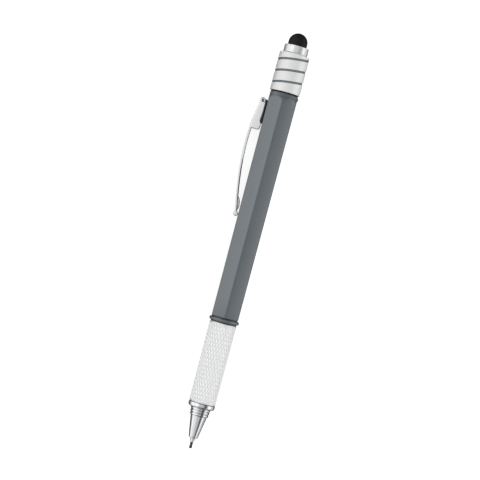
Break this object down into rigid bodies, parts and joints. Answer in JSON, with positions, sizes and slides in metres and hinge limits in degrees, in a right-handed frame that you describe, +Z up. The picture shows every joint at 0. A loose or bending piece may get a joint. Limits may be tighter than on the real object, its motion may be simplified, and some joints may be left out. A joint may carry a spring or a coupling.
{
  "type": "multi tool pen",
  "caption": "Twist-action ballpoint pen with a knurled grip, hexagonal barrel, sprung pocket clip and a stylus cap that lifts off a double-ended driver bit.",
  "frame": {"origin": "centre of the bounding box on the surface the pen lies on", "axes": "+X along the pen from the writing point to the stylus, +Z up from the surface, clip on the +Y side with its edge on the surface"},
  "size_m": [0.15, 0.0146, 0.0107],
  "materials": {
    "gunmetal": "satin metallic gunmetal lacquer",
    "brushed_silver": "brushed round",
    "knurled_silver": "bright diamond knurl",
    "chrome": "polished",
    "brass": "turned",
    "tool_steel": "dark hardened steel",
    "black_plastic": "moulded",
    "white_plastic": "moulded",
    "rubber": "matt silicone"
  },
  "bodies": {
    "barrel": {"hex_barrel": "gunmetal", "barrel_end_ring": "gunmetal", "friction_ring": "rubber", "cam_tube": "brass", "bit_holder": "black_plastic", "driver_bit": "tool_steel", "clip_tongue": "chrome"},
    "clip": {"pocket_clip": "chrome"},
    "seal": {"cap_seal": "rubber"},
    "cap": {"cap_sleeve": "brushed_silver", "cap_bush": "black_plastic", "stylus_collar": "brushed_silver", "stylus_post": "black_plastic", "stylus_tip": "rubber"},
    "grip": {"grip_sleeve": "knurled_silver", "nose_cone": "chrome", "cam_rotor": "brass", "retaining_ring": "tool_steel"},
    "refill": {"refill_carrier": "white_plastic", "follower_pin": "tool_steel", "refill_tube": "brass", "refill_point": "chrome", "writing_ball": "tool_steel"}
  },
  "joints": [
    {"name": "clip_flex", "type": "hinge", "parent": "barrel", "child": "clip", "pos_m": [0.04888, 0.00377, 0.00299], "axis": [0, -0.3832, -0.9237], "range_deg": [0, 6], "stiffness_Nm_per_rad": 0.02, "springref_deg": -2.86},
    {"name": "cap_lift", "type": "slide", "parent": "barrel", "child": "seal", "axis": [1, 0, 0], "range_m": [0, 0.03]},
    {"name": "cap_turn", "type": "hinge", "parent": "seal", "child": "cap", "pos_m": [0.06, -0.00193, 0.00535], "axis": [1, 0, 0], "continuous": true},
    {"name": "grip_twist", "type": "hinge", "parent": "barrel", "child": "grip", "pos_m": [-0.03, -0.00193, 0.00535], "axis": [1, 0, 0], "range_deg": [0, 180]},
    {"name": "refill_slide", "type": "slide", "parent": "grip", "child": "refill", "axis": [1, 0, 0], "range_m": [0, 0.0055]}
  ],
  "couplings": [
    {"joint": "refill_slide", "follows": "grip_twist", "m_per_rad": 0.00175}
  ]
}
